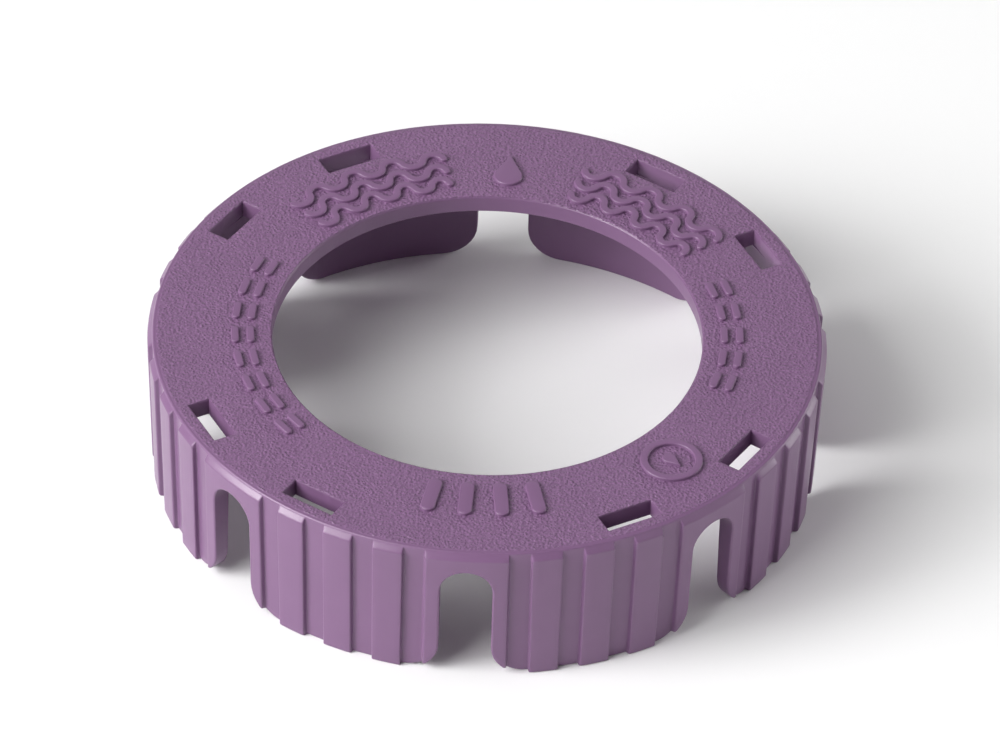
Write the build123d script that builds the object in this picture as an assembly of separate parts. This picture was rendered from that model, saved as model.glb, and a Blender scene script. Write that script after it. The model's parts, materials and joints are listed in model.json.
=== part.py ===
from build123d import *
import math
import os

# Snap-fit identification cover for a pop-up sprinkler: a flat crown ring with eight skirt fingers.
# Millimetres and degrees. +Z is up, the skirt stands on z = 0 and the ring's axis is the Z axis.

# The sprinkler cap that the cover snaps over
cap_radius = 28.5
cap_clearance = 0.1  # between the cap and the skirt's inner wall
stem_hole_radius = 19.35  # the riser and its nozzle come up through this hole

# Crown ring and skirt
overall_height = 14.3
crown_thickness = 1.7
wall_at_top = 1.55  # skirt wall between two ribs, measured at the top
draft_angle = 2.4  # the outside of the skirt leans inward towards the bottom
rim_rounding = 0.2
hole_rounding = 0.2
bend_depth = 2.5  # level at which a finger bends, below the top face

# Slots between the fingers
finger_count = 8
slot_width = 4.65
slot_top_depth = 2.15  # top of the slot's arch, below the top face
finger_corner_radius = 3.1

# Raised ribs on a finger, and the raised frame round each slot
ribs_per_finger = 3
rib_height = 0.45
rib_width = 2.85
frame_border = 1.475  # width of the raised frame on each side of a slot
bevel_depth = 0.6  # sloping top end of a rib or a frame
bevel_start = 0.08  # where that slope starts, below the top face
bevel_inset = 0.08  # how far inside the rim it starts

# Windows through the crown, and the snap bead that hangs under each one
window_width = 5.2
window_depth = 2.0  # in the radial direction
window_offset = 3.85  # from the middle of the finger, towards the nearer diagonal slot
bead_height = 0.5
bead_top_depth = 7.5  # flat upper face of the bead, below the top face
bead_length = 2.4
bead_ledge = 0.4  # straight tip of the bead before its lead-in slope
bead_root = 0.35  # how deep the bead is rooted in the wall

# Raised marks on the top face
mark_height = 0.3
mark_line = 0.7  # width of a raised line
mark_sink = 0.2  # how deep a mark is rooted in the crown
wave_angles = (120.5, 54.5)  # middles of the marks, anticlockwise from +X
wave_radius = 23.1
wave_length = 3.6
wave_crests = 4
wave_swing = 0.7  # height of a crest above the wave's middle line
wave_row_gap = 1.8  # between the middle lines of two waves
wave_rows = 3
dash_angles = (190, 4)
dash_counts = (8, 5)  # dashes in one row of each mark
dash_length = 2.2
dash_gap = 1.1
dash_radius = 22.0  # middle of the two rows of dashes
dash_row_gap = 1.4
drop_angle = 88.5
drop_radius = 1.3
drop_tip = 2.9  # from the middle of a drop's round end to its tip
emblem_angle = 317
emblem_radius = 2.8
emblem_centre = 23.7
tally_angle = 272.5
tally_length = 4.4
tally_width = 1.3
tally_pitch = 3.1
tally_count = 4

# Sizes that follow from the ones above
inner_radius = cap_radius + cap_clearance
rim_radius = inner_radius + wall_at_top
rib_radius = rim_radius + rib_height
draft_slope = math.tan(math.radians(draft_angle))
finger_arc = 360 / finger_count
frame_width = slot_width + 2 * frame_border
bend_level = overall_height - bend_depth
underside_level = overall_height - crown_thickness
mark_middle = (stem_hole_radius + inner_radius - window_depth) / 2
cut_margin = 5.0  # how far a cutter runs past what it cuts


def arc_angle(length, radius):
    """Angle in degrees that a length takes up along an arc of this radius."""
    return math.degrees(length / radius)


def spaced(middle, pitch, count):
    """Evenly spaced places, their middle one at a given place."""
    return [middle + pitch * (index - (count - 1) / 2) for index in range(count)]


def outside_radius(radius_at_top, level):
    """Radius of a drafted outside face at a height above the bottom."""
    return radius_at_top - (overall_height - level) * draft_slope


def polygon(points):
    """Flat face in the XZ plane, where the first number of a point is its radius."""
    return make_face(Polyline([(radius, 0, level) for radius, level in points], close=True))


def turned(solid, angle):
    """The solid turned about the Z axis."""
    return Rot(0, 0, angle) * solid


def swept_bar(points, start_angle, width_angle):
    """A profile carried round the Z axis through an angle."""
    return turned(revolve(polygon(points), Axis.Z, revolution_arc=width_angle), start_angle)


def make_shell():
    """Crown and plain skirt in one piece, before ribs, slots and windows."""
    profile = polygon(
        [
            (stem_hole_radius, overall_height),
            (rim_radius, overall_height),
            (outside_radius(rim_radius, 0), 0),
            (inner_radius, 0),
            (inner_radius, underside_level),
            (stem_hole_radius, underside_level),
        ]
    )
    top_corners = profile.vertices().group_by(Axis.Z)[-1].sort_by(Axis.X)
    profile = fillet(top_corners[-1], rim_rounding)
    hole_corners = profile.vertices().group_by(Axis.X)[0]
    profile = fillet(hole_corners, hole_rounding)
    return revolve(profile, Axis.Z)


def make_bar(middle_angle, width):
    """Rib or frame: a raised bar down the outside, with a sloping top end."""
    width_angle = arc_angle(width, rib_radius)
    root_radius = (inner_radius + outside_radius(rim_radius, 0)) / 2
    slope_top = overall_height - bevel_start
    slope_foot = slope_top - bevel_depth
    profile = [
        (root_radius, 0),
        (outside_radius(rib_radius, 0), 0),
        (outside_radius(rib_radius, slope_foot), slope_foot),
        (rim_radius - bevel_inset, slope_top),
        (root_radius, slope_top),
    ]
    return swept_bar(profile, middle_angle - width_angle / 2, width_angle)


def bars_of_finger(finger_middle):
    """The ribs of one finger, evenly spaced between the two slot frames beside it."""
    free_arc = finger_arc - arc_angle(frame_width, rib_radius)
    rib_arc = arc_angle(rib_width, rib_radius)
    recess_arc = (free_arc - ribs_per_finger * rib_arc) / (ribs_per_finger + 1)
    middles = spaced(finger_middle, rib_arc + recess_arc, ribs_per_finger)
    return [make_bar(middle, rib_width) for middle in middles]


def make_slot_cutter():
    """Arched slot, with the rounded lower corners of the fingers on both sides of its mouth."""
    half = slot_width / 2
    corner = finger_corner_radius
    arch_centre = overall_height - slot_top_depth - half
    mouth = half + corner
    diagonal = corner * math.sqrt(0.5)
    outline = Curve() + [
        Polyline((-mouth, 0), (-mouth, -cut_margin), (mouth, -cut_margin), (mouth, 0)),
        ThreePointArc((mouth, 0), (mouth - diagonal, corner - diagonal), (half, corner)),
        Line((half, corner), (half, arch_centre)),
        ThreePointArc((half, arch_centre), (0, arch_centre + half), (-half, arch_centre)),
        Line((-half, arch_centre), (-half, corner)),
        ThreePointArc((-half, corner), (diagonal - mouth, corner - diagonal), (-mouth, 0)),
    ]
    face = Plane.YZ * make_face(outline)
    depth = rib_radius + cut_margin
    return extrude(face, depth, dir=(1, 0, 0))


def window_angle(finger):
    """Windows stand in pairs, on both sides of every second slot."""
    side = 1 if finger % 2 == 0 else -1
    return (finger + 0.5) * finger_arc + side * arc_angle(window_offset, inner_radius - window_depth / 2)


def make_window_cutter():
    """Window whose outer edge is in line with the skirt's inner wall."""
    block = Box(window_depth, window_width, crown_thickness + 2 * cut_margin)
    return Pos(inner_radius - window_depth / 2, 0, overall_height) * block


def make_bead():
    """Snap bead on the inner wall: a flat upper face, a short tip and a long lead-in slope."""
    root_radius = inner_radius + bead_root
    tip_radius = inner_radius - bead_height
    top = overall_height - bead_top_depth
    profile = [
        (root_radius, top),
        (tip_radius, top),
        (tip_radius, top - bead_ledge),
        (inner_radius, top - bead_length),
        (root_radius, top - bead_length),
    ]
    width_angle = arc_angle(window_width, inner_radius)
    return swept_bar(profile, -width_angle / 2, width_angle)


def at_crown(sketch, radius, angle):
    """Places a flat mark on the crown, its own Y axis pointing away from the hole."""
    return Rot(0, 0, angle - 90) * Pos(0, radius, 0) * sketch


def wave_mark(middle_angle):
    """Wavy lines, each a chain of arcs that bulge outward and inward in turn."""
    lines = []
    for radius in spaced(wave_radius, wave_row_gap, wave_rows):
        half_wave = arc_angle(wave_length / 2, wave_radius)
        first = middle_angle - wave_crests * half_wave
        for step in range(2 * wave_crests):
            start = math.radians(first + step * half_wave)
            end = math.radians(first + (step + 1) * half_wave)
            crest_radius = radius + (wave_swing if step % 2 == 0 else -wave_swing)
            corners = [(radius, start), (crest_radius, (start + end) / 2), (radius, end)]
            points = [(r * math.cos(angle), r * math.sin(angle)) for r, angle in corners]
            lines.append(trace(ThreePointArc(*points), mark_line))
    return lines


def dash_mark(middle_angle, count):
    """Two rows of short straight dashes along the crown."""
    dash = SlotOverall(dash_length, mark_line)
    pitch = arc_angle(dash_length + dash_gap, dash_radius)
    angles = spaced(middle_angle, pitch, count)
    rows = spaced(dash_radius, dash_row_gap, 2)
    return [at_crown(dash, radius, angle) for radius in rows for angle in angles]


def tally_mark(middle_angle):
    """A row of short bars that point at the middle of the ring."""
    bar = Rot(0, 0, 90) * SlotOverall(tally_length, tally_width)
    pitch = arc_angle(tally_pitch, mark_middle)
    return [at_crown(bar, mark_middle, angle) for angle in spaced(middle_angle, pitch, tally_count)]


def drop_mark():
    """A water drop: a round end and two straight sides that meet at the tip."""
    tangent = math.acos(drop_radius / drop_tip)
    side_x = drop_radius * math.sin(tangent)
    side_y = drop_radius * math.cos(tangent)
    outline = Curve() + [
        ThreePointArc((side_x, side_y), (0, -drop_radius), (-side_x, side_y)),
        Polyline((-side_x, side_y), (0, drop_tip), (side_x, side_y)),
    ]
    return make_face(outline)


def emblem_mark():
    """A ring round a water drop."""
    ring = Circle(emblem_radius) - Circle(emblem_radius - mark_line)
    fitted = (emblem_radius - 2 * mark_line) / drop_tip
    return [ring, Pos(0, -drop_radius * fitted / 2, 0) * drop_mark().scale(fitted)]


def make_marks():
    """Every raised mark on the top face, rooted a little way into the crown."""
    flat = [line for angle in wave_angles for line in wave_mark(angle)]
    flat += [dash for angle, count in zip(dash_angles, dash_counts) for dash in dash_mark(angle, count)]
    flat += tally_mark(tally_angle)
    flat.append(at_crown(drop_mark(), mark_middle - drop_radius / 2, drop_angle))
    flat += [at_crown(sketch, emblem_centre, emblem_angle) for sketch in emblem_mark()]
    root = Pos(0, 0, overall_height - mark_sink)
    return [root * extrude(sketch, mark_height + mark_sink) for sketch in flat]


def make_moulding():
    """The whole cover in one piece."""
    fingers = range(finger_count)
    bars = [bar for finger in fingers for bar in bars_of_finger((finger + 0.5) * finger_arc)]
    bars += [make_bar(slot * finger_arc, frame_width) for slot in fingers]
    bead = make_bead()
    beads = [turned(bead, window_angle(finger)) for finger in fingers]
    slot_cutter = make_slot_cutter()
    window_cutter = make_window_cutter()
    cutters = [turned(slot_cutter, slot * finger_arc) for slot in fingers]
    cutters += [turned(window_cutter, window_angle(finger)) for finger in fingers]
    return make_shell() + bars + beads - cutters + make_marks()


def finger_number(solid):
    """Fingers are numbered anticlockwise from +X, seen from above."""
    centre = solid.center()
    return int(math.degrees(math.atan2(centre.Y, centre.X)) % 360 // finger_arc) + 1


moulding = make_moulding()
bend_plane = Plane.XY.offset(bend_level)
crown = split(moulding, bisect_by=bend_plane, keep=Keep.TOP)
fingers = split(moulding, bisect_by=bend_plane, keep=Keep.BOTTOM).solids()

os.makedirs("parts", exist_ok=True)
export_step(crown, "parts/crown_ring.step")
for solid in fingers:
    export_step(solid, f"parts/skirt_finger_{finger_number(solid)}.step")

bend_radius = outside_radius(rib_radius, bend_level)
print(f"bend axis: radius {bend_radius:.3f}, height {bend_level:.3f}; fingers {len(fingers)}")
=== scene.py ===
import json
import math
import bmesh
import bpy
import numpy as np
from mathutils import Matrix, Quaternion, Vector


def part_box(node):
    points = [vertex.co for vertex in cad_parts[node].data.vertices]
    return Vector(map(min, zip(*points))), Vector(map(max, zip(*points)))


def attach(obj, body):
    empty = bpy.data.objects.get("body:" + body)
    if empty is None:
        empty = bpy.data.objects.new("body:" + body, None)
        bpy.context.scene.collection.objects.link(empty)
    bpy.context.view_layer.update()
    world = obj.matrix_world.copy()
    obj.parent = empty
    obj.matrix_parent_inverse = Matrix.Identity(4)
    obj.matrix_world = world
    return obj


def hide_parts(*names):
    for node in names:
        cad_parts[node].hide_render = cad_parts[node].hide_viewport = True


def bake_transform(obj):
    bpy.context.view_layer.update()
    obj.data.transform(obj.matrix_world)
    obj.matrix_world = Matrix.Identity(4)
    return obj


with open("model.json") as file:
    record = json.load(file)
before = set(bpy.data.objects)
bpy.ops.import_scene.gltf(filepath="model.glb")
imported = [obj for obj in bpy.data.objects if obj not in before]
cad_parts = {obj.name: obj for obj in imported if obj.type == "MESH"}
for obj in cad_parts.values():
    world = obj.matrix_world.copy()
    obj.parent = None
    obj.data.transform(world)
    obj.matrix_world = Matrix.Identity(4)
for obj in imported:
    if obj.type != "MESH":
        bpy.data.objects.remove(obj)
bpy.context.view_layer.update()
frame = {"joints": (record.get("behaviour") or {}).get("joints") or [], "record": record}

# Identification cover that snaps over a pop-up sprinkler's cap: one moulding, with a flat crown and eight
# springy fingers. Shapes are worked out in millimetres and degrees, and the meshes are in metres.
mm = 0.001
mergeDistance = 0.0005

cover = {
    "insideRadius": 28.6,
    "rimRadius": 30.15,     # outside of the plain wall, at the level of the top face
    "ribHeight": 0.45,
    "draft": 2.4,           # degrees
    "ribCount": 3,
    "ribWidth": 2.85,
    "frameWidth": 7.6,      # raised frame round a slot, both sides together
    "rootFillet": 0.10,     # where a rib's side meets the wall
    "ribEdge": 0.16,        # rounding along a rib's outer edges
    "sideLean": 0.05,       # how far a rib's side leans over its height
    "seamDepth": 0.95,      # crown and fingers meet this far below the top face
    "ledgeRadius": 29.3,    # hidden step where a finger is set into the crown
    "columnStep": 0.8,      # widest face, in degrees round the ring
    "curvePoints": 5,       # over each curve of a rib's side
    "seamRise": 0.1,        # rows beside a hidden edge of the crown
}

# Places that the CAD model settles
mounts = {mount["name"]: mount for mount in frame["record"]["mounts"]}
holeRadius = mounts["riser_hole"]["dims"]["r_mm"]
underLevel = mounts["seat_under_crown"]["pos_m"][2] / mm
markHeight = 0.3
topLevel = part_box("crown_ring")[1].z / mm - markHeight
hinges = {joint["child"]: Vector(joint["pos_m"]) / mm for joint in frame["joints"]}
fingerPitch = 360 / len(hinges)
seamLevel = topLevel - cover["seamDepth"]
ribRadius = cover["rimRadius"] + cover["ribHeight"]
draftSlope = math.tan(math.radians(cover["draft"]))


def filled(knots, step):
    # sorted knots, with evenly spaced values between two of them where they stand wider apart than the step
    knots = np.unique(np.round(knots, 6))
    counts = np.maximum(np.ceil(np.diff(knots) / step), 1).astype(int)
    spans = zip(knots[:-1], knots[1:], counts)
    runs = [np.linspace(low, high, count, endpoint=False) for low, high, count in spans]
    return np.append(np.concatenate(runs), knots[-1])


def gridFaces(index, closed=False):
    # quads between the neighbouring rows and columns of a 2D array of vertex numbers
    if closed:
        index = np.vstack([index, index[:1]])
    corners = [index[:-1, :-1], index[1:, :-1], index[1:, 1:], index[:-1, 1:]]
    return np.stack(corners, axis=-1).reshape(-1, 4)


def roundDrop(distance, radius):
    # fall of a rounded edge: radius - sqrt(radius^2 - (radius - distance)^2) within the radius, 0 beyond it
    inner = np.clip(radius - distance, 0, radius)
    return radius - np.sqrt(radius**2 - inner**2)


def makePiece(name, points, faceSets, material, sharpAngle=40):
    # points in millimetres; doubles are merged before the faces are turned outward
    mesh = bpy.data.meshes.new(name)
    sizes = np.concatenate([np.full(len(faces), faces.shape[1]) for faces in faceSets])
    corners = np.concatenate([faces.ravel() for faces in faceSets])
    used, corners = np.unique(corners, return_inverse=True)
    mesh.vertices.add(len(used))
    mesh.vertices.foreach_set("co", (points[used] * mm).astype(np.float32).ravel())
    mesh.loops.add(len(corners))
    mesh.loops.foreach_set("vertex_index", corners.astype(np.int32).ravel())
    mesh.polygons.add(len(sizes))
    starts = np.concatenate([[0], np.cumsum(sizes)[:-1]])
    mesh.polygons.foreach_set("loop_start", starts.astype(np.int32))
    mesh.update(calc_edges=True)
    shape = bmesh.new()
    shape.from_mesh(mesh)
    bmesh.ops.remove_doubles(shape, verts=shape.verts, dist=mergeDistance * mm)
    bmesh.ops.recalc_face_normals(shape, faces=shape.faces)
    shape.to_mesh(mesh)
    shape.free()
    mesh.shade_smooth()
    mesh.set_sharp_from_angle(angle=math.radians(sharpAngle))
    mesh.materials.append(material)
    piece = bpy.data.objects.new(name, mesh)
    bpy.context.scene.collection.objects.link(piece)
    weighting = piece.modifiers.new("evenShading", "WEIGHTED_NORMAL")
    weighting.keep_sharp = True
    return piece


def addNode(tree, kind, values=None, **settings):
    made = tree.nodes.new(kind)
    for label, value in settings.items():
        setattr(made, label, value)
    for label, value in (values or {}).items():
        if isinstance(value, bpy.types.NodeSocket):
            tree.links.new(value, made.inputs[label])
        else:
            made.inputs[label].default_value = value
    return made


def newGroup(name, inputs, outputs):
    group = bpy.data.node_groups.new(name, "ShaderNodeTree")
    for label, kind, value in inputs:
        socket = group.interface.new_socket(label, in_out="INPUT", socket_type=kind)
        if value is not None:
            socket.default_value = value
    for label, kind in outputs:
        group.interface.new_socket(label, in_out="OUTPUT", socket_type=kind)
    given, result = group.nodes.new("NodeGroupInput"), group.nodes.new("NodeGroupOutput")
    return group, given.outputs, result.inputs


# Heights and sizes of the finishes are millimetres
plastic = {
    "colour": (0.184, 0.096, 0.193, 1),
    "markGain": 1.02,          # lighter copy of the colour above: painted sheen on the raised marks
    # darker copy of the colour: painted shade on the snap beads inside the ring
    "beadGain": 0.98,
    "satinRoughness": 0.27,
    "markRoughness": 0.30,
    "mottleSize": 5.0,
    "mottleAmount": 0.15,
    "drawLineSize": 0.3125,
    "drawLineStretch": 25,     # length of a draw line beside its width
    "drawLineHeight": 0.006,
    "drawLineRoughness": 0.10,
    "grainSize": 0.27,
    "grainHeight": 0.17,
    "grainRoughness": 0.28,
    # painted shade and painted glints of the grain: the colour is scaled between these two with the noise
    # that also raises the grain
    "grainDark": 0.89,
    "grainLight": 1.24,
    "grainBorder": (0.50, 0.30),   # the grain fades out between these distances from the rim
    "grainDepth": (0.05, 0.01),    # and comes in between these depths below the top face
    "pebbleSoftness": 0.6,
    "pebbleDome": (0.05, 0.65),    # a pebble falls away between these distances, in grain sizes
    "noiseShare": 0.55,            # of the grain's height, beside the pebbles
    "speckleBand": (0.38, 0.64),   # noise values from the darkest painted shade to the lightest painted glint
    "specular": 0.5,
    "ior": 1.5,
}


def makeSatinGroup():
    # moulded satin finish: broad soft mottling, and fine draw lines that run up the wall
    group, given, result = newGroup(
        "satinFinish",
        [("Vector", "NodeSocketVector", None), ("Colour", "NodeSocketColor", plastic["colour"]),
         ("Mottle", "NodeSocketFloat", plastic["mottleAmount"]),
         ("Roughness", "NodeSocketFloat", plastic["satinRoughness"])],
        [("Colour", "NodeSocketColor"), ("Roughness", "NodeSocketFloat"), ("Height", "NodeSocketFloat")])
    mottle = addNode(group, "ShaderNodeTexNoise",
                     {"Vector": given["Vector"], "Scale": 1 / plastic["mottleSize"], "Detail": 3.0})
    stretched = addNode(group, "ShaderNodeMapping",
                        {"Vector": given["Vector"], "Scale": (1, 1, 1 / plastic["drawLineStretch"])})
    lines = addNode(group, "ShaderNodeTexNoise",
                    {"Vector": stretched.outputs[0], "Scale": 1 / plastic["drawLineSize"], "Detail": 2.0})
    centred = addNode(group, "ShaderNodeMath", {0: mottle.outputs["Fac"], 1: 0.5}, operation="SUBTRACT")
    gain = addNode(group, "ShaderNodeMath", {0: centred.outputs[0], 1: given["Mottle"], 2: 1.0},
                   operation="MULTIPLY_ADD")
    tinted = addNode(group, "ShaderNodeVectorMath", {0: given["Colour"], 1: gain.outputs[0]},
                     operation="MULTIPLY")
    rougher = addNode(group, "ShaderNodeMath",
                      {0: lines.outputs["Fac"], 1: plastic["drawLineRoughness"], 2: given["Roughness"]},
                      operation="MULTIPLY_ADD")
    group.links.new(tinted.outputs[0], result["Colour"])
    group.links.new(rougher.outputs[0], result["Roughness"])
    group.links.new(lines.outputs["Fac"], result["Height"])
    return group


def makeGrainGroup():
    # spark-eroded grain: small soft pebbles with finer noise between them, and painted glints and painted
    # shade on that noise for the colour
    group, given, result = newGroup(
        "sparkGrain",
        [("Vector", "NodeSocketVector", None), ("Size", "NodeSocketFloat", plastic["grainSize"])],
        [("Height", "NodeSocketFloat"), ("Speckle", "NodeSocketFloat")])
    density = addNode(group, "ShaderNodeMath", {0: 1.0, 1: given["Size"]}, operation="DIVIDE")
    pebbles = addNode(group, "ShaderNodeTexVoronoi",
                      {"Vector": given["Vector"], "Scale": density.outputs[0],
                       "Smoothness": plastic["pebbleSoftness"]}, feature="SMOOTH_F1")
    noise = addNode(group, "ShaderNodeTexNoise",
                    {"Vector": given["Vector"], "Scale": density.outputs[0], "Detail": 3.0, "Roughness": 0.6})
    domeStart, domeEnd = plastic["pebbleDome"]
    dome = addNode(group, "ShaderNodeMapRange",
                   {"Value": pebbles.outputs["Distance"], "From Min": domeStart, "From Max": domeEnd,
                    "To Min": 1.0, "To Max": 0.0})
    height = addNode(group, "ShaderNodeMix",
                     {0: plastic["noiseShare"], 2: dome.outputs[0], 3: noise.outputs["Fac"]})
    # painted glints and painted shade: the noise's peaks, which the height raises, are lightened and its
    # hollows darkened
    darkest, lightest = plastic["speckleBand"]
    paintedGlintNode = addNode(group, "ShaderNodeMapRange",
                      {"Value": noise.outputs["Fac"], "From Min": darkest, "From Max": lightest})
    group.links.new(height.outputs[0], result["Height"])
    group.links.new(paintedGlintNode.outputs[0], result["Speckle"])
    return group


satinGroup = makeSatinGroup()
grainGroup = makeGrainGroup()


def startMaterial(name, roughness, gain=1.0):
    # object coordinates in millimetres, the satin finish and one Principled shader
    material = bpy.data.materials.new(name)
    material.use_nodes = True
    tree = material.node_tree
    shader = tree.nodes["Principled BSDF"]
    shader.inputs["Specular IOR Level"].default_value = plastic["specular"]
    shader.inputs["IOR"].default_value = plastic["ior"]
    place = addNode(tree, "ShaderNodeTexCoord")
    vector = addNode(tree, "ShaderNodeMapping", {"Vector": place.outputs["Object"], "Scale": (1 / mm,) * 3})
    red, green, blue, opacity = plastic["colour"]
    satin = addNode(tree, "ShaderNodeGroup", node_tree=satinGroup)
    tree.links.new(vector.outputs[0], satin.inputs["Vector"])
    satin.inputs["Colour"].default_value = (red * gain, green * gain, blue * gain, opacity)
    satin.inputs["Mottle"].default_value = plastic["mottleAmount"]
    satin.inputs["Roughness"].default_value = roughness
    return material, tree, shader, vector.outputs[0], satin.outputs


def satinMaterial(name, roughness, gain):
    material, tree, shader, vector, satin = startMaterial(name, roughness, gain)
    bump = addNode(tree, "ShaderNodeBump", {"Height": satin["Height"], "Strength": 1.0,
                                            "Distance": plastic["drawLineHeight"] * mm})
    tree.links.new(satin["Colour"], shader.inputs["Base Color"])
    tree.links.new(satin["Roughness"], shader.inputs["Roughness"])
    tree.links.new(bump.outputs[0], shader.inputs["Normal"])
    return material


def crownMaterial():
    # grain on the flat of the top face only, with painted glints and painted shade in its colour; the rim,
    # the hole and the side stay satin
    material, tree, shader, vector, satin = startMaterial("crownPlastic", plastic["satinRoughness"])
    grain = addNode(tree, "ShaderNodeGroup", node_tree=grainGroup)
    tree.links.new(vector, grain.inputs["Vector"])
    grain.inputs["Size"].default_value = plastic["grainSize"]
    parts = addNode(tree, "ShaderNodeSeparateXYZ", {0: vector})
    fadeLow, fadeHigh = [topLevel - depth for depth in plastic["grainDepth"]]
    level = addNode(tree, "ShaderNodeMapRange",
                    {"Value": parts.outputs["Z"], "From Min": fadeLow, "From Max": fadeHigh})
    flat = addNode(tree, "ShaderNodeVectorMath", {0: vector, 1: (1, 1, 0)}, operation="MULTIPLY")
    radius = addNode(tree, "ShaderNodeVectorMath", {0: flat.outputs[0]}, operation="LENGTH")
    fadeStart, fadeEnd = [cover["rimRadius"] - distance for distance in plastic["grainBorder"]]
    rim = addNode(tree, "ShaderNodeMapRange",
                  {"Value": radius.outputs["Value"], "From Min": fadeStart, "From Max": fadeEnd,
                   "To Min": 1.0, "To Max": 0.0})
    onTop = addNode(tree, "ShaderNodeMath", {0: level.outputs[0], 1: rim.outputs[0]}, operation="MULTIPLY")
    # painted glints and painted shade of the grain, multiplied into the colour; on average they lighten the
    # top face
    shade = addNode(tree, "ShaderNodeMapRange",
                    {"Value": grain.outputs["Speckle"], "To Min": plastic["grainDark"],
                     "To Max": plastic["grainLight"]})
    withPaintedGlints = addNode(tree, "ShaderNodeVectorMath", {0: satin["Colour"], 1: shade.outputs[0]},
                       operation="MULTIPLY")
    colour = addNode(tree, "ShaderNodeMix", {0: onTop.outputs[0], 6: satin["Colour"], 7: withPaintedGlints.outputs[0]},
                     data_type="RGBA")
    roughness = addNode(tree, "ShaderNodeMix", {0: onTop.outputs[0], 2: satin["Roughness"],
                                                3: plastic["grainRoughness"]})
    smooth = addNode(tree, "ShaderNodeMath",
                     {0: satin["Height"], 1: plastic["drawLineHeight"] / plastic["grainHeight"]},
                     operation="MULTIPLY")
    height = addNode(tree, "ShaderNodeMix", {0: onTop.outputs[0], 2: smooth.outputs[0],
                                             3: grain.outputs["Height"]})
    bump = addNode(tree, "ShaderNodeBump", {"Height": height.outputs[0], "Strength": 1.0,
                                            "Distance": plastic["grainHeight"] * mm})
    tree.links.new(colour.outputs[2], shader.inputs["Base Color"])
    tree.links.new(roughness.outputs[0], shader.inputs["Roughness"])
    tree.links.new(bump.outputs[0], shader.inputs["Normal"])
    return material


crownPlastic = crownMaterial()
skirtPlastic = satinMaterial("skirtPlastic", plastic["satinRoughness"], 1.0)
# the marks get a lighter copy of the plastic, painted sheen, and the snap beads a darker one, painted shade
markPlastic = satinMaterial("markPlastic", plastic["markRoughness"], plastic["markGain"])
beadPlastic = satinMaterial("beadPlastic", plastic["satinRoughness"], plastic["beadGain"])
print("materials made")


def ribSide():
    # across one side of a rib, as (offset along the arc, share of the rib's height): a fillet with
    # x = r sin t - r, y = r - r cos t, and then a rounding with x = r - r cos t, y = height - r + r sin t
    turn = np.linspace(0, np.pi / 2, cover["curvePoints"])
    root, edge, lean = cover["rootFillet"], cover["ribEdge"], cover["sideLean"] / 2
    offsets = np.concatenate([-lean - root + root * np.sin(turn), lean + edge - edge * np.cos(turn)])
    heights = np.concatenate([root - root * np.cos(turn), cover["ribHeight"] - edge + edge * np.sin(turn)])
    return np.degrees(offsets / ribRadius), heights / cover["ribHeight"]


def ribPattern():
    # knots of (angle from a slot, share of the rib height) over one finger: half frames, ribs between them
    offsets, shares = ribSide()
    frameHalf = math.degrees(cover["frameWidth"] / 2 / ribRadius)
    ribArc = math.degrees(cover["ribWidth"] / ribRadius)
    gap = (fingerPitch - 2 * frameHalf - cover["ribCount"] * ribArc) / (cover["ribCount"] + 1)
    starts = frameHalf + gap + np.arange(cover["ribCount"]) * (ribArc + gap)
    rises = np.append(starts, fingerPitch - frameHalf)[:, None] + offsets
    falls = np.append(frameHalf, starts + ribArc)[:, None] - offsets[::-1]
    angles = np.concatenate([rises.ravel(), falls.ravel()])
    levels = np.concatenate([np.tile(shares, len(rises)), np.tile(shares[::-1], len(falls))])
    order = np.argsort(angles)
    return angles[order], levels[order]


ribAngles, ribShares = ribPattern()


def ribShare(angle):
    # share of the rib height at any angle in degrees; the pattern repeats with every finger
    return np.interp(np.mod(angle, fingerPitch), ribAngles, ribShares, period=fingerPitch)


def wallRadius(radiusAtTop, level):
    # drafted wall: radius at the top less the depth times the draft's slope
    return radiusAtTop - (topLevel - level) * draftSlope


# Depths are below the top face
crownSizes = {
    "rimRounding": 0.2,
    "holeRounding": 0.2,
    "bevelStart": 0.08,      # top of the sloping rib end
    "bevelDepth": 0.6,
    "bevelInset": 0.08,
    "bevelSoftness": 0.10,   # how gently the slope runs into the rib
    "bevelFoot": 0.03,       # and into the wall
    "bevelZone": 0.12,       # fine rows on both sides of the slope's foot
    "fineStep": 0.04,
    "windowWidth": 5.2,
    "windowDepth": 2.0,
    "windowOffset": 3.85,    # from the middle of a finger
    "windowEdge": 0.13,      # rounding round a window's upper edge
    "rowStep": 0.9,
    "rimPoints": 9,          # over each rounding's quarter turn
    "holePoints": 6,
    "windowPoints": 4,
    "squareTurn": 0.17,      # half angle, in radians, within which the grid is squared up round a window
    "squareMargin": 0.012,   # angle beyond the window's side where it is fully square
    "squareInside": 3.0,     # towards the hole it starts this far from the window
    "squareRise": 2.5,       # and takes this distance
    "squareOutside": 29.28,  # towards the rim it ends at this radius
    "squareFall": 0.45,
}
windowOuter = cover["insideRadius"]
windowInner = windowOuter - crownSizes["windowDepth"]
windowMiddle = (windowInner + windowOuter) / 2
windowHalf = crownSizes["windowWidth"] / 2
windowTurn = math.degrees(crownSizes["windowOffset"] / windowMiddle)
windowFillet = crownSizes["windowEdge"] * (1 - np.cos(np.linspace(0, np.pi / 2, crownSizes["windowPoints"])))
windowSides = np.where(np.arange(len(hinges)) % 2 == 0, windowTurn, -windowTurn)
windowAngles = (np.arange(len(hinges)) + 0.5) * fingerPitch + windowSides


def softMin(a, b, softness):
    # the lower of two values, rounded where they cross:
    # min(a, b) - max(softness - |a - b|, 0)^2 / (4 softness)
    return np.minimum(a, b) - np.maximum(softness - np.abs(a - b), 0) ** 2 / (4 * softness)


def rows(radius, level):
    # rows that are the same between the ribs and on them: (radius, radius, level)
    radius, level = np.broadcast_arrays(radius, level)
    return np.stack([radius, radius, level], axis=-1).reshape(-1, 3)


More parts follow.
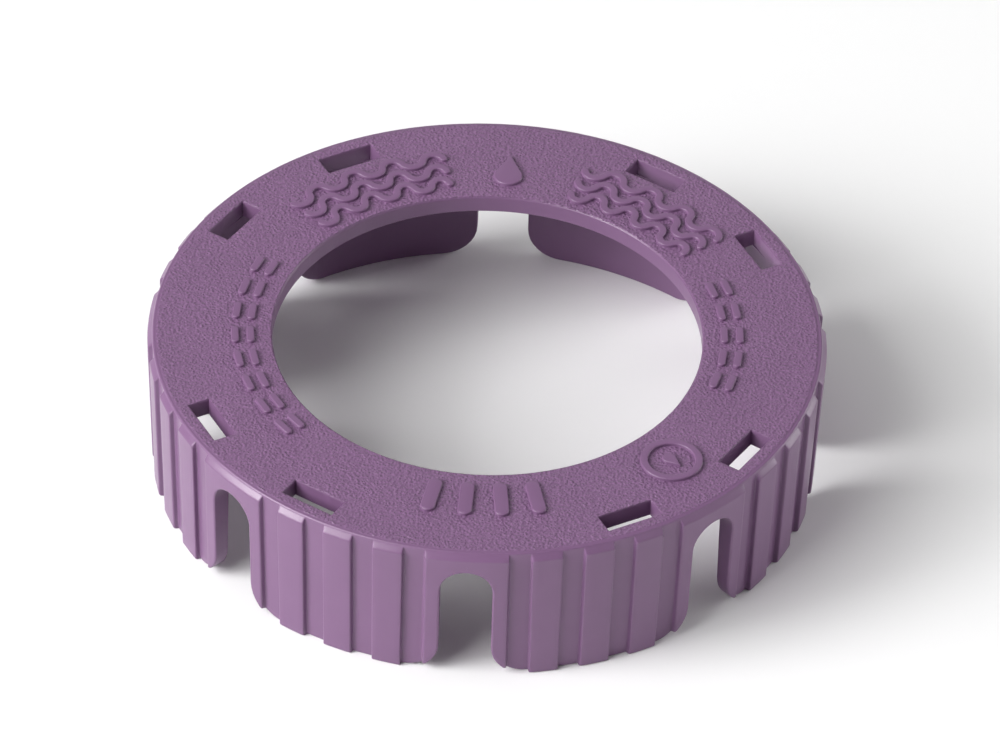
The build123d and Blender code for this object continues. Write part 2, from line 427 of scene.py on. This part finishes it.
def crownRows():
    # profile round the crown's section, as (radius between ribs, radius on a rib, level), in order up the
    # hole, over the top, down the rim to the seam, in along the hidden ledge and back under the crown
    rimCut, holeCut = crownSizes["rimRounding"], crownSizes["holeRounding"]
    turn = np.linspace(0, np.pi / 2, crownSizes["holePoints"])
    hole = rows(holeRadius + holeCut * (1 - np.cos(turn)), topLevel - holeCut * (1 - np.sin(turn)))
    rimCentre = wallRadius(cover["rimRadius"], topLevel - rimCut) - rimCut
    edges = [[holeRadius + holeCut, rimCentre], windowInner - windowFillet, windowOuter + windowFillet]
    topRadii = filled(np.concatenate(edges), crownSizes["rowStep"])
    rimTurn = np.linspace(np.pi / 2, 0, crownSizes["rimPoints"])[1:]
    rimLevels = topLevel - rimCut * (1 - np.sin(rimTurn))
    slopeTop = topLevel - crownSizes["bevelStart"]
    slopeFoot = slopeTop - crownSizes["bevelDepth"]
    zone = crownSizes["bevelZone"]
    knots = [rimLevels[-1], slopeFoot + zone, slopeFoot - zone, seamLevel]
    lower = filled(knots, crownSizes["fineStep"])[::-1][1:]
    levels = np.concatenate([rimLevels, lower])
    plain = np.concatenate([rimCentre + rimCut * np.cos(rimTurn), wallRadius(cover["rimRadius"], lower)])
    slopeStart = cover["rimRadius"] - crownSizes["bevelInset"]
    slopeEnd = wallRadius(ribRadius, slopeFoot)
    slope = slopeStart + (slopeTop - levels) * (slopeEnd - slopeStart) / crownSizes["bevelDepth"]
    ribbed = softMin(slope, wallRadius(ribRadius, levels), crownSizes["bevelSoftness"])
    ribbed = -softMin(-ribbed, -plain, crownSizes["bevelFoot"])
    ribbed = np.where(levels > slopeTop, plain, ribbed)
    ledge, rise = cover["ledgeRadius"], cover["seamRise"]
    below = topRadii[topRadii < ledge - 2 * rise][:0:-1]
    return np.vstack([
        rows(holeRadius, underLevel + rise),
        hole,
        rows(topRadii[1:], topLevel),
        np.stack([plain, ribbed, levels], axis=1),
        rows(ledge, [seamLevel, underLevel]),
        rows(np.append(below, holeRadius + rise), underLevel),
    ])


def straighten(radius, angle):
    # plan position of (radius, angle); near a window the polar grid gives way to a square one, x = radius and
    # y = middle radius times angle, so that a window's edges are straight and parallel
    sizes = crownSizes
    nearest = np.abs(angle[..., None] - windowAngles).argmin(axis=-1)
    centre = windowAngles[nearest]
    turn = np.radians(angle - centre)
    along, across = radius * np.cos(turn), radius * np.sin(turn)
    reach = windowHalf / windowMiddle + sizes["squareMargin"]
    sideways = np.clip((sizes["squareTurn"] - np.abs(turn)) / (sizes["squareTurn"] - reach), 0, 1)
    fromHole = np.clip((radius - windowInner + sizes["squareInside"]) / sizes["squareRise"], 0, 1)
    fromRim = np.clip((sizes["squareOutside"] - radius) / sizes["squareFall"], 0, 1)
    inward = fromHole * fromRim
    weight = sideways**2 * (3 - 2 * sideways) * inward**2 * (3 - 2 * inward)
    x = along + weight * (radius - along)
    y = across + weight * (windowMiddle * turn - across)
    outsideX = np.maximum(np.maximum(windowInner - x, x - windowOuter), 0)
    outside = np.hypot(outsideX, np.maximum(np.abs(y) - windowHalf, 0))
    facing = np.radians(centre)
    plan = [x * np.cos(facing) - y * np.sin(facing), x * np.sin(facing) + y * np.cos(facing)]
    return np.stack(plan, axis=-1), outside, weight


def buildCrown():
    # P(i, j) = profile row j at column angle i, where the radius is plain + share(angle) (ribbed - plain)
    sides = np.degrees((windowHalf + windowFillet) / windowMiddle)
    edges = (windowAngles[:, None] + np.concatenate([-sides, sides])).ravel()
    ribs = (np.arange(len(hinges))[:, None] * fingerPitch + ribAngles).ravel()
    angles = filled(np.concatenate([edges, ribs, [0, 360]]), cover["columnStep"])[:-1]
    profile = crownRows()
    share = ribShare(angles)[:, None]
    radius = profile[:, 0] + share * (profile[:, 1] - profile[:, 0])
    plan, outside, weight = straighten(radius, np.broadcast_to(angles[:, None], radius.shape))
    isTop, isUnder = [np.abs(profile[:, 2] - level) < 1e-6 for level in (topLevel, underLevel)]
    rounded = isTop & (weight > 0.5)
    level = profile[:, 2] - np.where(rounded, roundDrop(outside, crownSizes["windowEdge"]), 0)
    points = np.concatenate([plan, level[..., None]], axis=-1).reshape(-1, 3)
    index = np.arange(level.size).reshape(level.shape)
    keep = np.ones(level.shape, bool)
    atInner, atOuter = [np.abs(profile[:, 0] - edge) < 1e-5 for edge in (windowInner, windowOuter)]
    topInner, topOuter, lowInner, lowOuter = [
        np.flatnonzero(face & edge)[0] for face in (isTop, isUnder) for edge in (atInner, atOuter)]
    walls = []
    for centre in windowAngles:
        first, last = [np.abs(angles - centre - side).argmin() for side in (-sides[0], sides[0])]
        keep[first:last, topInner:topOuter] = False
        keep[first:last, lowOuter:lowInner] = False
        across, deep = np.arange(first, last + 1), np.arange(topInner + 1, topOuter)
        columns = np.concatenate([across, np.full(len(deep), last), across[::-1], np.full(len(deep), first)])
        above = np.concatenate([0 * across + topInner, deep, 0 * across + topOuter, deep[::-1]])
        below = lowInner - (above - topInner)
        walls.append(gridFaces(np.stack([index[columns, above], index[columns, below]], axis=1), closed=True))
    ring = np.hstack([index, index[:, :1]])
    faces = gridFaces(ring, closed=True).reshape(*keep.shape, 4)[keep]
    piece = makePiece("crown", points, [faces] + walls, crownPlastic)
    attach(piece, "crown")
    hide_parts("crown_ring")
    print("crown made,", len(faces), "faces")


# Depths are below the top face
fingerSizes = {
    "slotHalf": 2.325,
    "archDepth": 2.15,        # top of the slot's arch
    "cornerRadius": 3.1,
    "edgeRounding": 0.2,
    "bendStart": 2.15,        # the wall bends between these two depths
    "bendEnd": 4.9,
    "lowRows": 16,            # rows below the level of the arch's middle, and above it
    "highRows": 14,
    "parallelReach": 5.6,     # columns run parallel to the slot up to here, and radially past the second
    "radialReach": 8.0,
    "referenceDepth": 0.3,    # distances to the slot are measured at this depth below the ribs
    "edgePoints": 5,          # over each quarter rounding of the edge
    "cornerPoints": 9,        # over the arch and over a corner
}
slotReference = ribRadius - fingerSizes["referenceDepth"]


def slotAngle(y, radius):
    # angle from the slot's middle plane of a point y away from it: asin(y / radius) beside the slot, where
    # the walls are parallel, and asin(y / reference radius) away from it
    start, end = fingerSizes["parallelReach"], fingerSizes["radialReach"]
    beside = np.clip((end - y) / (end - start), 0, 1)
    beside = beside**2 * (3 - 2 * beside)
    return np.degrees(beside * np.arcsin(y / radius) + (1 - beside) * np.arcsin(y / slotReference))


def fingerPoints(middle, y, mirrored, radius, level):
    # point = (radius cos, radius sin, level) of the finger's middle angle plus or minus the turn towards the
    # nearer slot, which is y away
    turn = fingerPitch / 2 - slotAngle(y, radius)
    angle = np.radians(middle + np.where(mirrored, turn, -turn))
    return np.stack([radius * np.cos(angle), radius * np.sin(angle), level + 0 * radius], axis=-1)


def fingerWallRadius(level, share):
    # outside of a finger: the drafted wall and its share of a rib's height
    return wallRadius(cover["rimRadius"], level) + cover["ribHeight"] * share


def fingerColumns():
    # angle from the left slot and distance to the nearer slot of every column, and the numbers of the two
    # columns beside the slots
    half, corner, cut = fingerSizes["slotHalf"], fingerSizes["cornerRadius"], fingerSizes["edgeRounding"]
    turn = np.linspace(0, np.pi / 2, fingerSizes["cornerPoints"])
    stations = np.concatenate([(half + cut) * np.sin(turn), half + corner - (corner - cut) * np.sin(turn)])
    knots = np.degrees(np.arcsin(stations / slotReference))
    halfWay = fingerPitch / 2
    left = filled(np.concatenate([knots, ribAngles[ribAngles < halfWay], [0, halfWay]]), cover["columnStep"])
    angles = np.concatenate([left, fingerPitch - left[-2::-1]])
    y = slotReference * np.sin(np.radians(np.minimum(angles, fingerPitch - angles)))
    first = np.abs(left - np.degrees(np.arcsin((half + cut) / slotReference))).argmin()
    last = len(angles) - 1 - first
    y[[first, last]] = half + cut
    return angles, y, first, last


def outlinePath(columns, first, last):
    # (column, row) of every point along the lower outline: over the left half arch, down the side, along the
    # foot, up the other side and over the right half arch
    side = np.arange(fingerSizes["lowRows"])
    left, foot, right = np.arange(first + 1), np.arange(first + 1, last), np.arange(last, columns)
    path = np.concatenate([left, np.full(len(side), first), foot, np.full(len(side), last), right])
    top = fingerSizes["lowRows"]
    height = np.concatenate([np.full(len(left), top), side[::-1], 0 * foot, side, np.full(len(right), top)])
    return path, height


def buildFinger(number, middle):
    # outer and inner walls are grids of columns at fixed angles and rows between the lower outline and the
    # top; an edge strip of quarter roundings joins them all along the outline
    half, corner, cut = fingerSizes["slotHalf"], fingerSizes["cornerRadius"], fingerSizes["edgeRounding"]
    lowRows, highRows = fingerSizes["lowRows"], fingerSizes["highRows"]
    archLevel = topLevel - fingerSizes["archDepth"] - half
    cornerMiddle = half + corner
    angles, y, first, last = fingerColumns()
    columns = len(angles)
    mirrored = angles > fingerPitch / 2
    shares = ribShare(angles)
    bridge = (np.arange(columns) < first) | (np.arange(columns) > last)
    archFoot = archLevel + np.sqrt(np.maximum((half + cut) ** 2 - y**2, 0))
    cornerFoot = corner - np.sqrt(np.maximum((corner - cut) ** 2 - (cornerMiddle - y) ** 2, 0))
    foot = np.where(y < cornerMiddle, cornerFoot, cut)

    def levels(top):
        # rows of levels: outline to arch level, then arch or arch level to the top
        low = foot[:, None] + (archLevel - foot[:, None]) * np.linspace(0, 1, lowRows + 1)
        start = np.where(bridge, archFoot, archLevel)[:, None]
        high = start + (top - start) * np.linspace(0, 1, highRows + 1)
        return np.hstack([low[:, :-1], high])

    def wallGrid(radius, level):
        return fingerPoints(middle, y[:, None], mirrored[:, None], radius, level)

    outerLevels, innerLevels = levels(seamLevel), levels(underLevel)
    outer = wallGrid(fingerWallRadius(outerLevels, shares[:, None]), outerLevels)
    inner = wallGrid(np.full(innerLevels.shape, cover["insideRadius"]), innerLevels)
    outerIndex = np.arange(outerLevels.size).reshape(outerLevels.shape)
    innerIndex = outerIndex + outerIndex.size

    path, height = outlinePath(columns, first, last)
    pathY, pathLevel = y[path], outerLevels[path, height]
    onArch = height == lowRows
    onSide = (height > 0) & (height < lowRows)
    inCorner = (height == 0) & (pathY < cornerMiddle)
    places = [onArch, onSide, inCorner]
    normalY = np.select(places, [pathY / (half + cut), 1.0, (cornerMiddle - pathY) / (corner - cut)], 0.0)
    archRise, cornerFall = (pathLevel - archLevel) / (half + cut), (corner - pathLevel) / (corner - cut)
    normalLevel = np.select(places, [archRise, 0.0, cornerFall], 1.0)

    def edgeRing(step, outside):
        # one line along the outline: moved out by cut sin(step), and in from the wall's face by
        # cut (1 - cos(step))
        ringY, ringLevel = [value - cut * np.sin(step) * normal
                            for value, normal in ((pathY, normalY), (pathLevel, normalLevel))]
        dip = cut * (1 - np.cos(step))
        if outside:
            radius = fingerWallRadius(ringLevel, shares[path]) - dip
        else:
            radius = np.full(len(ringY), cover["insideRadius"] + dip)
        return fingerPoints(middle, ringY, mirrored[path], radius, ringLevel)

    steps = np.linspace(0, np.pi / 2, fingerSizes["edgePoints"])[1:]
    rings = [edgeRing(step, True) for step in steps] + [edgeRing(step, False) for step in steps[::-1]]
    stripSize = len(rings) * len(path)
    stripIndex = 2 * outerIndex.size + np.arange(stripSize).reshape(len(rings), len(path))
    ledgeIndex = stripIndex.max() + 1 + np.arange(2 * columns).reshape(2, columns)
    stripIndex = np.vstack([outerIndex[path, height], stripIndex, innerIndex[path, height]])
    ledgeRadii = np.full(columns, cover["ledgeRadius"])
    ledge = [fingerPoints(middle, y, mirrored, ledgeRadii, level) for level in (seamLevel, underLevel)]
    capIndex = np.vstack([outerIndex[:, -1], ledgeIndex, innerIndex[:, -1]])
    points = np.concatenate([outer.reshape(-1, 3), inner.reshape(-1, 3), *rings, *ledge])
    faces = [gridFaces(stripIndex), gridFaces(capIndex)]
    for index in (outerIndex, innerIndex):
        faces += [gridFaces(index[:, lowRows:]), gridFaces(index[first:last + 1, :lowRows + 1])]
    for column in (0, -1):
        end = [outerIndex[column, lowRows:], ledgeIndex[:, column], innerIndex[column, :lowRows - 1:-1]]
        faces.append(np.concatenate(end + [stripIndex[-2:0:-1, column]])[None, :])
    piece = makePiece(f"finger_{number}", points, faces, skirtPlastic)
    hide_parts(f"skirt_finger_{number}")
    across = Vector((math.cos(math.radians(middle)), math.sin(math.radians(middle)), 0)) * ribRadius
    start, end = [(across + Vector((0, 0, topLevel - depth))) * mm
                  for depth in (fingerSizes["bendStart"], fingerSizes["bendEnd"])]
    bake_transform(piece)


beadSizes = {
    "height": 0.5,
    "topDepth": 7.5,       # flat upper face, below the top face
    "length": 2.4,
    "ledge": 0.4,          # straight tip before the lead-in slope
    "root": 0.35,          # how deep it is rooted in the wall
    "corner": 0.12,
    "endRounding": 0.35,
    "cornerPoints": 5,
    "endPoints": 7,
    "arcPoints": 9,
}


def buildBead(number, middle):
    # section (s, j) carried round an arc; corners are quadratic curves, and the bead sinks into the wall at
    # both ends by sqrt(1 - (1 - distance / rounding)^2)
    wall, top = cover["insideRadius"], topLevel - beadSizes["topDepth"]
    tip, root, low = wall - beadSizes["height"], wall + beadSizes["root"], top - beadSizes["length"]
    corners = np.array([(root, top), (tip, top), (tip, top - beadSizes["ledge"]), (wall, low), (root, low)])
    before = corners - np.roll(corners, 1, axis=0)
    after = np.roll(corners, -1, axis=0) - corners
    reach = beadSizes["corner"]
    start = corners - before / np.linalg.norm(before, axis=1)[:, None] * reach
    end = corners + after / np.linalg.norm(after, axis=1)[:, None] * reach
    t = np.linspace(0, 1, beadSizes["cornerPoints"])[None, :, None]
    section = (1 - t) ** 2 * start[:, None] + 2 * t * (1 - t) * corners[:, None] + t**2 * end[:, None]
    section = section.reshape(-1, 2)
    rounding = beadSizes["endRounding"]
    ramp = windowHalf - rounding * (1 - np.cos(np.linspace(0, np.pi / 2, beadSizes["endPoints"])))
    straight = np.linspace(-ramp[-1], ramp[-1], beadSizes["arcPoints"])[1:-1]
    along = np.concatenate([-ramp, straight, ramp[::-1]])
    toEnd = np.clip((windowHalf - np.abs(along)) / rounding, 0, 1)
    share = np.sqrt(1 - (1 - toEnd) ** 2)[:, None]
    radius = np.where(section[:, 0] < wall, wall - (wall - section[:, 0]) * share, section[:, 0] + 0 * share)
    angle = np.radians(middle) + along[:, None] / wall + 0 * radius
    points = np.stack([radius * np.cos(angle), radius * np.sin(angle), section[:, 1] + 0 * radius], axis=-1)
    index = np.arange(radius.size).reshape(radius.shape)
    piece = makePiece(f"snap_bead_{number}", points.reshape(-1, 3),
                      [gridFaces(index.T, closed=True), index[:1], index[-1:]], beadPlastic)
    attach(piece, f"finger_{number}")


buildCrown()
for name, place in hinges.items():
    number = int(name.split("_")[1])
    buildFinger(number, math.degrees(math.atan2(place.y, place.x)))
    buildBead(number, windowAngles[number - 1])
print("fingers and snap beads made")


marks = {
    "line": 0.7,
    "sink": 0.2,
    "edge": 0.11,
    "edgePoints": 5,
    "endPoints": 8,         # over the round end of a line
    "flatRing": 0.6,        # row on the flat of a solid figure, as a share of its least reach
    "waveAngles": (120.5, 54.5),
    "waveRadius": 23.1,
    "waveLength": 3.6,
    "waveCrests": 4,
    "waveSwing": 0.7,
    "wavePoints": 10,       # over half a wave
    "waveRowGap": 1.8,
    "waveRows": 3,
    "dashAngles": (190, 4),
    "dashCounts": (8, 5),
    "dashLength": 2.2,
    "dashGap": 1.1,
    "dashRadius": 22.0,
    "dashRowGap": 1.4,
    "barPoints": 5,
    "tallyAngle": 272.5,
    "tallyLength": 4.4,
    "tallyWidth": 1.3,
    "tallyPitch": 3.1,
    "tallyCount": 4,
    "dropAngle": 88.5,
    "dropRadius": 1.3,
    "dropTip": 2.9,
    "dropPoints": 64,
    "emblemAngle": 317,
    "emblemRadius": 2.8,
    "emblemCentre": 23.7,
    "emblemPoints": 72,
}
markMiddle = (holeRadius + windowInner) / 2


def edgeSteps(width):
    # distances in from an edge: edge (1 - cos t) over its rounding, then the middle of the width
    turn = np.linspace(0, np.pi / 2, marks["edgePoints"])
    return np.append(marks["edge"] * (1 - np.cos(turn)), width / 2)


def strokeShape(path, width, closed=False):
    # a line of even width with rounded ends and edges, along a plan path: point = path + t halfWidth normal,
    # where past an end halfWidth = sqrt(width^2 / 4 - overrun^2), and level = height - roundDrop(distance to
    # the outline)
    steps = np.roll(path, -1, axis=0) - np.roll(path, 1, axis=0) if closed else np.gradient(path, axis=0)
    heading = steps / np.linalg.norm(steps, axis=1)[:, None]
    overrun = np.zeros(len(path))
    if not closed:
        past = width / 2 * np.sin(np.linspace(0, np.pi / 2, marks["endPoints"])[1:])
        before, after = path[0] - heading[0] * past[::-1, None], path[-1] + heading[-1] * past[:, None]
        path = np.concatenate([before, path, after])
        heading = np.pad(heading, ((len(past), len(past)), (0, 0)), mode="edge")
        overrun = np.concatenate([past[::-1], overrun, past])
    halfWidth = np.sqrt(np.maximum(width**2 / 4 - overrun**2, 0))
    shareAcross = 1 - edgeSteps(width) / (width / 2)
    across = np.concatenate([shareAcross, -shareAcross[-2::-1]])
    normal = np.stack([-heading[:, 1], heading[:, 0]], axis=1)
    lateral = across * halfWidth[:, None]
    inset = width / 2 - np.hypot(overrun[:, None], lateral)
    level = markHeight - roundDrop(inset, marks["edge"])
    lateral = np.hstack([lateral[:, :1], lateral, lateral[:, -1:]])
    buried = np.full((len(path), 1), -marks["sink"])
    level = np.hstack([buried, level, buried])
    plan = path[:, None] + lateral[..., None] * normal[:, None]
    index = np.arange(level.size).reshape(level.shape)
    around = np.hstack([index, index[:, :1]])
    return np.concatenate([plan, level[..., None]], axis=-1).reshape(-1, 3), gridFaces(around, closed=closed)


def starShape(outline):
    # a solid figure round its own middle: point = share outline(angle), level = height - roundDrop(distance
    # inward), and buried and raised points at the middle close it
    reach = np.linalg.norm(outline, axis=1)
    inset = np.append(edgeSteps(2 * reach.min())[:-1], marks["flatRing"] * reach.min())
    share = 1 - inset / reach[:, None]
    level = markHeight - roundDrop(inset, marks["edge"]) + 0 * share
    middle = np.zeros((len(reach), 1))
    share = np.hstack([middle, middle + 1, share, middle])
    level = np.hstack([middle - marks["sink"], middle - marks["sink"], level, middle + markHeight])
    plan = share[..., None] * outline[:, None]
    index = np.arange(level.size).reshape(level.shape)
    return np.concatenate([plan, level[..., None]], axis=-1).reshape(-1, 3), gridFaces(index, closed=True)


def dropOutline(scale):
    # round end of radius a, and sides that meet at the tip: reach = a / cos(angle - acos(a / tip)) near the
    # tip, else a
    end, tip = marks["dropRadius"] * scale, marks["dropTip"] * scale
    opening = math.acos(end / tip)
    angle = np.linspace(-np.pi, np.pi, marks["dropPoints"], endpoint=False)
    reach = np.where(np.abs(angle) < opening, end / np.cos(np.abs(angle) - opening), end)
    return np.stack([reach * np.sin(angle), reach * np.cos(angle)], axis=1)


def onCrown(plan, radius, angle):
    # a flat figure set on the crown, its own y axis pointing away from the hole
    turn = math.radians(angle - 90)
    x, y = plan[:, 0], plan[:, 1] + radius
    turned = [x * math.cos(turn) - y * math.sin(turn), x * math.sin(turn) + y * math.cos(turn)]
    return np.stack(turned, axis=1)


def wavePaths(middle):
    # half waves in turn outward and inward, each an arc: along = R sin q, out = R cos q - (R - swing)
    halfChord, swing = marks["waveLength"] / 4, marks["waveSwing"]
    bow = (halfChord**2 + swing**2) / (2 * swing)
    sweep = np.linspace(-1, 1, marks["wavePoints"], endpoint=False) * math.asin(halfChord / bow)
    order = np.arange(2 * marks["waveCrests"])[:, None]
    along = ((order - marks["waveCrests"] + 0.5) * 2 * halfChord + bow * np.sin(sweep)).ravel()
    out = (np.where(order % 2 == 0, 1, -1) * (bow * np.cos(sweep) - bow + swing)).ravel()
    along = np.append(along, marks["waveCrests"] * 2 * halfChord)
    out = np.append(out, 0)
    angle = math.radians(middle) + along / marks["waveRadius"]
    offsets = (np.arange(marks["waveRows"]) - (marks["waveRows"] - 1) / 2) * marks["waveRowGap"]
    radii = [marks["waveRadius"] + offset + out for offset in offsets]
    return [np.stack([radius * np.cos(angle), radius * np.sin(angle)], axis=1) for radius in radii]


def spread(middle, pitch, count):
    # evenly spaced places about a middle one
    return middle + pitch * (np.arange(count) - (count - 1) / 2)


def straightBar(length, width, lengthwise, radius, angle):
    # a bar's middle line, from which the rounded ends stand out by half the width
    run = np.linspace(-(length - width) / 2, (length - width) / 2, marks["barPoints"])
    plan = np.stack([0 * run, run] if lengthwise else [run, 0 * run], axis=1)
    return onCrown(plan, radius, angle)


def buildMark(name, shapes):
    # all the figures of one mark in one mesh, rooted a little way into the crown
    offset, points, faces = 0, [], []
    for shapePoints, shapeFaces in shapes:
        points.append(shapePoints + (0, 0, topLevel))
        faces.append(shapeFaces + offset)
        offset += len(shapePoints)
    piece = makePiece(name, np.concatenate(points), faces, markPlastic, sharpAngle=50)
    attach(piece, "crown")


def buildMarks():
    for side, middle in zip(("left", "right"), marks["waveAngles"]):
        buildMark(f"wave_mark_{side}", [strokeShape(path, marks["line"]) for path in wavePaths(middle)])
    dashPitch = math.degrees((marks["dashLength"] + marks["dashGap"]) / marks["dashRadius"])
    for side, middle, count in zip(("left", "right"), marks["dashAngles"], marks["dashCounts"]):
        bars = [straightBar(marks["dashLength"], marks["line"], False, radius, angle)
                for radius in spread(marks["dashRadius"], marks["dashRowGap"], 2)
                for angle in spread(middle, dashPitch, count)]
        buildMark(f"dash_mark_{side}", [strokeShape(bar, marks["line"]) for bar in bars])
    tallyPitch = math.degrees(marks["tallyPitch"] / markMiddle)
    bars = [straightBar(marks["tallyLength"], marks["tallyWidth"], True, markMiddle, angle)
            for angle in spread(marks["tallyAngle"], tallyPitch, marks["tallyCount"])]
    buildMark("tally_mark", [strokeShape(bar, marks["tallyWidth"]) for bar in bars])

    def drop(scale, radius, angle, back):
        points, faces = starShape(dropOutline(scale))
        points[:, :2] = onCrown(points[:, :2] - (0, back), radius, angle)
        return points, faces

    buildMark("drop_mark", [drop(1.0, markMiddle, marks["dropAngle"], marks["dropRadius"] / 2)])
    around = np.linspace(0, 2 * np.pi, marks["emblemPoints"], endpoint=False)
    circle = (marks["emblemRadius"] - marks["line"] / 2) * np.stack([np.cos(around), np.sin(around)], axis=1)
    centre, facing = marks["emblemCentre"], marks["emblemAngle"]
    ring = onCrown(circle, centre, facing)
    fitted = (marks["emblemRadius"] - 2 * marks["line"]) / marks["dropTip"]
    small = drop(fitted, centre, facing, marks["dropRadius"] * fitted / 2)
    buildMark("emblem_mark", [strokeShape(ring, marks["line"], closed=True), small])


buildMarks()
print("raised marks made")


studio = {
    "floorSize": 6.0,         # metres, as is the distance of the lights
    "floorColour": (0.90, 0.90, 0.90, 1),
    "floorRoughness": 0.9,
    "floorSpecular": 0.2,
    "skyStrength": 0.12,      # as a light; the camera sees the sky white
    "lightDistance": 0.8,
    "lens": 432,              # the camera's sizes are millimetres and degrees
    "sensorWidth": 36,
    "distance": 1078.57,
    "azimuth": 272.2,
    "elevation": 39.994,
    "roll": 1.873,
    "aim": (1.467, -5.85),
}
# azimuth and elevation of each light, its size in metres, and irradiance over pi on a surface that faces it
softboxes = {
    "leftKey": (199, 28, 0.36, 0.66),
    "leftSoft": (214, 38, 0.6, 0.92),
    "topSoft": (180, 58, 0.9, 0.26),
    "rightLow": (24, 13, 0.4, 0.38),
    "rightSoft": (345, 24, 0.8, 0.20),
    "rearFill": (90, 20, 0.6, 0.08),
}


def buildFloor():
    size = studio["floorSize"] / 2
    mesh = bpy.data.meshes.new("studioFloor")
    corners = [(-size, -size, 0), (size, -size, 0), (size, size, 0), (-size, size, 0)]
    mesh.from_pydata(corners, [], [(0, 1, 2, 3)])
    material = bpy.data.materials.new("paleFloor")
    material.use_nodes = True
    shader = material.node_tree.nodes["Principled BSDF"]
    shader.inputs["Base Color"].default_value = studio["floorColour"]
    shader.inputs["Roughness"].default_value = studio["floorRoughness"]
    shader.inputs["Specular IOR Level"].default_value = studio["floorSpecular"]
    mesh.materials.append(material)
    floor = bpy.data.objects.new("studioFloor", mesh)
    bpy.context.scene.collection.objects.link(floor)


def direction(azimuth, elevation):
    # unit vector (cos up cos around, cos up sin around, sin up) towards a place that is given in degrees
    around, up = math.radians(azimuth), math.radians(elevation)
    return Vector((math.cos(up) * math.cos(around), math.cos(up) * math.sin(around), math.sin(up)))


def buildLights():
    distance = studio["lightDistance"]
    for name, (azimuth, elevation, size, strength) in softboxes.items():
        towards = direction(azimuth, elevation)
        lamp = bpy.data.lights.new(name, "AREA")
        lamp.shape = "SQUARE"
        lamp.size = size
        lamp.energy = strength * math.pi**2 * distance**2
        light = bpy.data.objects.new(name, lamp)
        light.location = towards * distance
        light.rotation_mode = "QUATERNION"
        light.rotation_quaternion = towards.to_track_quat("Z", "Y")
        bpy.context.scene.collection.objects.link(light)
    world = bpy.data.worlds.new("studioSky")
    world.use_nodes = True
    tree = world.node_tree
    sky = tree.nodes["Background"]
    path = addNode(tree, "ShaderNodeLightPath")
    strength = addNode(tree, "ShaderNodeMix",
                       {0: path.outputs["Is Camera Ray"], 2: studio["skyStrength"], 3: 1.0})
    sky.inputs["Color"].default_value = (1, 1, 1, 1)
    tree.links.new(strength.outputs[0], sky.inputs["Strength"])
    bpy.context.scene.world = world


def buildCamera():
    back = direction(studio["azimuth"], studio["elevation"])
    data = bpy.data.cameras.new("camera")
    data.lens = studio["lens"]
    data.sensor_width = studio["sensorWidth"]
    camera = bpy.data.objects.new("camera", data)
    camera.location = (Vector((0, 0, topLevel)) + back * studio["distance"]) * mm
    aim = Vector((*studio["aim"], topLevel)) * mm
    camera.rotation_mode = "QUATERNION"
    straight = (aim - camera.location).to_track_quat("-Z", "Y")
    camera.rotation_quaternion = straight @ Quaternion((0, 0, 1), math.radians(studio["roll"]))
    bpy.context.scene.collection.objects.link(camera)
    bpy.context.scene.camera = camera


buildFloor()
buildLights()
buildCamera()
bpy.context.scene.view_settings.view_transform = "Standard"
print("studio made")
